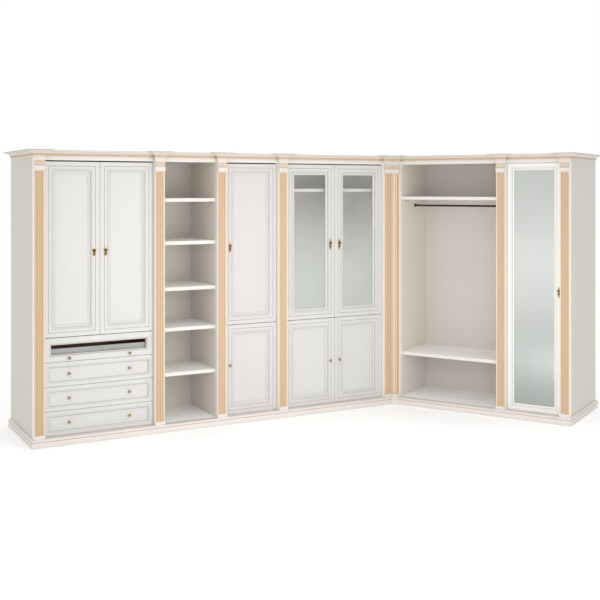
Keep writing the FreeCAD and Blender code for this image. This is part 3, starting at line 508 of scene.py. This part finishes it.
class WARDROBE_OT_plinth(Operator):
    """Cream lacquer on the plinth, gold in its groove and scuffed near the floor"""

    bl_idname = "wardrobe.plinth"
    bl_label = "Plinth"
    bl_options = {"REGISTER", "UNDO"}

    def execute(self, context):
        colours = context.scene.wardrobe_colours
        sizes = context.scene.wardrobe_sizes
        lacquer = Lacquer("cream_plinth", sizes, colours.cream, colours.glaze_and_shade)
        height = lacquer.along(UP)
        groove = lacquer.band(height, *PLINTH_GROOVE, soft=0.0006)
        scuff = (1 - lacquer.ramp(height, 0, SCUFF_TOP)) * lacquer.noise(size=0.02, detail=5)
        tint = lacquer.mix(scuff * 0.25, lacquer.tint, colours.glaze_and_shade)
        lacquer.coat(lacquer.mix(groove * 0.65, tint, colours.gold), weight=0.1)
        paint(lacquer, ["plinth"])
        return {"FINISHED"}


class WARDROBE_OT_cornice(Operator):
    """Cream lacquer on the cornice with a gold line at the foot of the crown, darker towards the
    crown as painted shade, and a painted shadow line along its top
    """

    bl_idname = "wardrobe.cornice"
    bl_label = "Cornice"
    bl_options = {"REGISTER", "UNDO"}

    def execute(self, context):
        colours = context.scene.wardrobe_colours
        sizes = context.scene.wardrobe_sizes
        lacquer = Lacquer("cream_cornice", sizes, colours.cream, colours.glaze_and_shade)
        low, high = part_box("cornice_lengths")
        height = lacquer.along(UP)
        line = lacquer.band(height - low.z, *GILT_LINE, soft=0.0008)
        # The gold line darkens towards the crown: real gilding with painted shade under the crown.
        gilt_and_shade = lacquer.mix(lacquer.ramp(height - low.z, *GOLD_SHADE_RISE), colours.tan, colours.gold)
        rubbed = lacquer.noise(size=0.05, detail=4)
        upright = 1 - lacquer.ramp(lacquer.dot(lacquer.normal(), UP), *LEVEL)
        # Painted shadow line along the top of the cornice's upright faces.
        rim = upright * (1 - lacquer.ramp(high.z - height, *CORNICE_TOP_SHADE))
        tint = lacquer.mix(rim * 0.6, lacquer.tint, colours.glaze_and_shade)
        lacquer.coat(lacquer.mix(line * (0.5 + 0.6 * rubbed), tint, gilt_and_shade), weight=0.15)
        paint(lacquer, ["cornice_lengths", "cornice_caps"])
        return {"FINISHED"}


class WARDROBE_OT_carcass(Operator):
    """Satin board on sides, tops, bottoms, dividers and shelves, with pale front edges; shelves
    and bottoms take lighter copies of the board as painted light, and the outer faces of the ends
    a darker colour as painted shade
    """

    bl_idname = "wardrobe.carcass"
    bl_label = "Carcass boards"
    bl_options = {"REGISTER", "UNDO"}

    def execute(self, context):
        colours = context.scene.wardrobe_colours
        sizes = context.scene.wardrobe_sizes
        first = -reach("side_panels", -LEFT_ALONG)
        last = reach("side_panels", RIGHT_ALONG)
        shelves = ["shelves"]
        bottoms = ["bottom_boards"]
        boards = in_slot("carcass_board")
        others = [piece for piece in boards if piece not in shelves + bottoms]
        # Shelves and bottom boards take lighter copies of the board as painted light.
        for name, names in (("carcass", others), ("shelf", shelves), ("bottom", bottoms)):
            graph = Graph(f"{name}_board")
            left_end = 1 - graph.ramp(graph.along(LEFT_ALONG) - first, *END_SKIN)
            right_end = 1 - graph.ramp(last - graph.along(RIGHT_ALONG), *END_SKIN)
            edge = graph.ramp(graph.fronting(), *FRONT_EDGE)
            pores = graph.noise(sizes.pore, detail=2, stretch=UPRIGHT)
            worn = graph.mix(graph.noise(size=0.5) * 0.2, getattr(colours, name), colours.back)
            # Painted shade: the outer skin of the ends takes the darker end colour.
            tint = graph.mix(left_end.larger(right_end), worn, colours.end)
            tint = graph.mix(edge, tint, colours.edge)
            graph.finish(tint, 0.4 + 0.15 * pores, pores)
            paint(graph, names)
        return {"FINISHED"}


class WARDROBE_OT_backs(Operator):
    """Matt board on back panels and the mirror's backing"""

    bl_idname = "wardrobe.backs"
    bl_label = "Back panels"
    bl_options = {"REGISTER", "UNDO"}

    def execute(self, context):
        colours = context.scene.wardrobe_colours
        sizes = context.scene.wardrobe_sizes
        graph = Graph("back_board")
        cloud = graph.noise(size=0.6)
        pores = graph.noise(sizes.pore, detail=2, stretch=UPRIGHT)
        tint = graph.mix(cloud * 0.35, colours.back, colours.carcass)
        graph.finish(tint, 0.5 + 0.15 * pores, pores)
        paint(graph, in_slot("back_board"))
        return {"FINISHED"}


class WARDROBE_OT_drawer_boxes(Operator):
    """Clear varnished wood on the drawer boxes, grain along their length"""

    bl_idname = "wardrobe.drawer_boxes"
    bl_label = "Drawer boxes"
    bl_options = {"REGISTER", "UNDO"}

    def execute(self, context):
        colours = context.scene.wardrobe_colours
        sizes = context.scene.wardrobe_sizes
        graph = Graph("drawer_wood")
        grain = graph.noise(sizes.grain, detail=6, stretch=(14, 1, 1))
        figure = graph.noise(sizes.grain * 5, detail=2, stretch=(6, 1, 1))
        tint = graph.mix(grain * 0.5 + figure * 0.3, colours.drawer, colours.heart)
        graph.finish(tint, 0.38 + 0.2 * grain, grain, depth=0.0003, Coat_Weight=0.2)
        paint(graph, in_slot("drawer_wood"))
        return {"FINISHED"}


class WARDROBE_OT_brass(Operator):
    """Brass knobs and plates, with dark bronze where the handles stand out"""

    bl_idname = "wardrobe.brass"
    bl_label = "Brass"
    bl_options = {"REGISTER", "UNDO"}

    def execute(self, context):
        colours = context.scene.wardrobe_colours
        pieces = in_slot("brass")
        knobs = [piece for piece in pieces if "knob" in piece]
        handles = [piece for piece in pieces if piece not in knobs]
        for name, names, tarnish in (("knobs", knobs, 0.4), ("handles", handles, 1)):
            graph = Graph(f"brass_{name}")
            film = graph.noise(size=0.012, detail=4)
            proud = graph.ramp(0 - graph.depth(), *BRONZE_RISE)
            dark = proud * tarnish * (0.5 + 0.5 * graph.ramp(film, *TARNISH))
            tint = graph.mix(dark, colours.brass, colours.bronze)
            graph.finish(tint, 0.3 + 0.25 * film, film, Metallic=1)
            paint(graph, names)
        return {"FINISHED"}


class WARDROBE_OT_glass(Operator):
    """Panes in the glass doors, paler towards their bottom as a painted reflection, and a satin
    strip in the top drawer
    """

    bl_idname = "wardrobe.glass"
    bl_label = "Glass"
    bl_options = {"REGISTER", "UNDO"}

    def execute(self, context):
        colours = context.scene.wardrobe_colours
        graph = Graph("glass")
        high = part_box("glass_left_door_pane")[1]
        film = graph.noise(size=0.25)
        # Painted reflection: the pale glass colour thickens towards the bottom of the panes.
        painted_reflection = graph.ramp(high.z - graph.along(UP), *REFLECTION_DROP)
        tint = graph.mix(film * 0.2, colours.glass, colours.mirror)
        graph.finish(tint, 0.03 + 0.05 * film, IOR=1.5)
        graph.feed(graph.shader.inputs["Alpha"], 0.1 + 0.42 * painted_reflection + 0.06 * film)
        graph.material.surface_render_method = "BLENDED"
        paint(graph, in_slot("glass"))
        graph = Graph("satin_glass")
        frost = graph.noise(size=0.004)
        tint = graph.mix(graph.noise(size=0.3) * 0.3, colours.satin, colours.glass)
        graph.finish(tint, 0.3 + 0.2 * frost, frost)
        graph.feed(graph.shader.inputs["Alpha"], 0.86 + 0.06 * frost)
        graph.material.surface_render_method = "BLENDED"
        paint(graph, in_slot("satin_glass"))
        return {"FINISHED"}


class WARDROBE_OT_mirror(Operator):
    """Silvered mirror with a painted reflection: brightest above the middle of its height, with
    painted shade towards its ends
    """

    bl_idname = "wardrobe.mirror"
    bl_label = "Mirror"
    bl_options = {"REGISTER", "UNDO"}

    def execute(self, context):
        colours = context.scene.wardrobe_colours
        graph = Graph("mirror")
        low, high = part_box("mirror_door_glass")
        height = graph.along(UP)
        # Painted reflection: brightest above the middle of the mirror, with painted shade below
        # and above.
        bright = low.z + MIRROR_BRIGHT * (high.z - low.z)
        below = 1 - graph.ramp(height, low.z, bright)
        mirror_painted_shade = (below * 1.1).larger(graph.ramp(height, bright, high.z) * 0.45)
        cloud = graph.noise(size=0.4)
        shade = mirror_painted_shade * 0.9 + cloud * 0.1
        tint = graph.mix(shade, colours.mirror, colours.mirror_shade)
        graph.finish(tint, 0.03 + 0.04 * cloud, Metallic=1)
        paint(graph, in_slot("mirror"))
        return {"FINISHED"}


class WARDROBE_OT_rails(Operator):
    """Dark coat on the clothes rails and their sockets, rubbed by hangers"""

    bl_idname = "wardrobe.rails"
    bl_label = "Clothes rails"
    bl_options = {"REGISTER", "UNDO"}

    def execute(self, context):
        colours = context.scene.wardrobe_colours
        graph = Graph("rail")
        rub = graph.noise(size=0.015)
        tint = graph.mix(graph.ramp(rub, *RUBBED) * 0.4, colours.rail, colours.steel)
        graph.finish(tint, 0.3 + 0.2 * rub, rub, Metallic=0.6)
        paint(graph, in_slot("dark_rail"))
        return {"FINISHED"}


class WARDROBE_OT_fittings(Operator):
    """Zinc on pins and runners, dark plastic on feet and pegs"""

    bl_idname = "wardrobe.fittings"
    bl_label = "Inner fittings"
    bl_options = {"REGISTER", "UNDO"}

    def execute(self, context):
        colours = context.scene.wardrobe_colours
        graph = Graph("steel")
        brushed = graph.noise(size=0.004, stretch=(8, 1, 1))
        tint = graph.mix(brushed * 0.3, colours.steel, colours.plastic)
        graph.finish(tint, 0.32 + 0.2 * brushed, brushed, Metallic=1)
        paint(graph, in_slot("steel"))
        graph = Graph("plastic")
        pebble = graph.noise(size=0.003, detail=2)
        tint = graph.mix(pebble * 0.2, colours.plastic, colours.rail)
        graph.finish(tint, 0.5 + 0.15 * pebble, pebble, depth=0.0002)
        paint(graph, in_slot("plastic"))
        return {"FINISHED"}


def soft_light(scene, lamp, power):
    """Square soft light that looks at a point and isn't seen itself."""
    light = bpy.data.lights.new(lamp.name, "AREA")
    light.shape = "SQUARE"
    light.size = lamp.side
    light.energy = power
    holder = bpy.data.objects.new(lamp.name, light)
    holder.location = lamp.at
    sight = Vector(lamp.aim) - Vector(lamp.at)
    holder.rotation_euler = sight.to_track_quat("-Z", "Y").to_euler()
    holder.visible_camera = False
    scene.collection.objects.link(holder)


class WARDROBE_OT_stage(Operator):
    """White floor, soft light and the level camera at the photograph's place"""

    bl_idname = "wardrobe.stage"
    bl_label = "Stage"
    bl_options = {"REGISTER", "UNDO"}

    def execute(self, context):
        colours = context.scene.wardrobe_colours
        sizes = context.scene.wardrobe_sizes
        scene = context.scene
        scene.view_settings.view_transform = "Standard"
        half = sizes.floor / 2
        corners = [(-half, -half, 0), (half, -half, 0), (half, half, 0), (-half, half, 0)]
        mesh = bpy.data.meshes.new("floor")
        mesh.from_pydata(corners, [], [(0, 1, 2, 3)])
        floor = bpy.data.objects.new("floor", mesh)
        scene.collection.objects.link(floor)
        graph = Graph("studio_floor")
        graph.finish(colours.floor, 0.7, Emission_Color=colours.sky, Emission_Strength=sizes.glow)
        mesh.materials.append(graph.material)
        world = bpy.data.worlds.new("studio")
        world.use_nodes = True
        light = world.node_tree.nodes["Background"].inputs
        light["Color"].default_value = (*colours.sky, 1)
        light["Strength"].default_value = sizes.room
        scene.world = world
        soft_light(scene, KEY, sizes.key)
        soft_light(scene, FILL, sizes.fill)
        camera = bpy.data.cameras.new("photo")
        camera.sensor_width = SENSOR
        camera.lens = sizes.lens
        camera.shift_y = sizes.shift
        camera.clip_end = SIGHT
        eye = bpy.data.objects.new("photo", camera)
        eye.location = sizes.eye
        eye.rotation_euler = (math.pi / 2, 0, sizes.heading)
        scene.collection.objects.link(eye)
        scene.camera = eye
        return {"FINISHED"}


FINISHES = (
    WARDROBE_OT_doors,
    WARDROBE_OT_pilasters,
    WARDROBE_OT_facings,
    WARDROBE_OT_plinth,
    WARDROBE_OT_cornice,
    WARDROBE_OT_carcass,
    WARDROBE_OT_backs,
    WARDROBE_OT_drawer_boxes,
    WARDROBE_OT_brass,
    WARDROBE_OT_glass,
    WARDROBE_OT_mirror,
    WARDROBE_OT_rails,
    WARDROBE_OT_fittings,
    WARDROBE_OT_stage,
)


class WARDROBE_PT_sidebar(Panel):
    """Lists the finishes with their colours and sizes"""

    bl_idname = "WARDROBE_PT_sidebar"
    bl_label = "Wardrobe"
    bl_space_type = "VIEW_3D"
    bl_region_type = "UI"
    bl_category = "Wardrobe"

    def draw(self, context):
        column = self.layout.column()
        for finish in FINISHES:
            column.operator(finish.bl_idname)
        for group in (context.scene.wardrobe_colours, context.scene.wardrobe_sizes):
            for name in group.__annotations__:
                column.prop(group, name)


CLASSES = (WARDROBE_PG_colours, WARDROBE_PG_sizes, *FINISHES, WARDROBE_PT_sidebar)


def register():
    for each in CLASSES:
        bpy.utils.register_class(each)
    bpy.types.Scene.wardrobe_colours = PointerProperty(type=WARDROBE_PG_colours)
    bpy.types.Scene.wardrobe_sizes = PointerProperty(type=WARDROBE_PG_sizes)


def unregister():
    del bpy.types.Scene.wardrobe_sizes
    del bpy.types.Scene.wardrobe_colours
    for each in reversed(CLASSES):
        bpy.utils.unregister_class(each)


def main():
    """Registers the add-on and runs its operators in order."""
    register()
    for finish in FINISHES:
        group, name = finish.bl_idname.split(".")
        getattr(getattr(bpy.ops, group), name)()


if __name__ == "__main__":
    main()
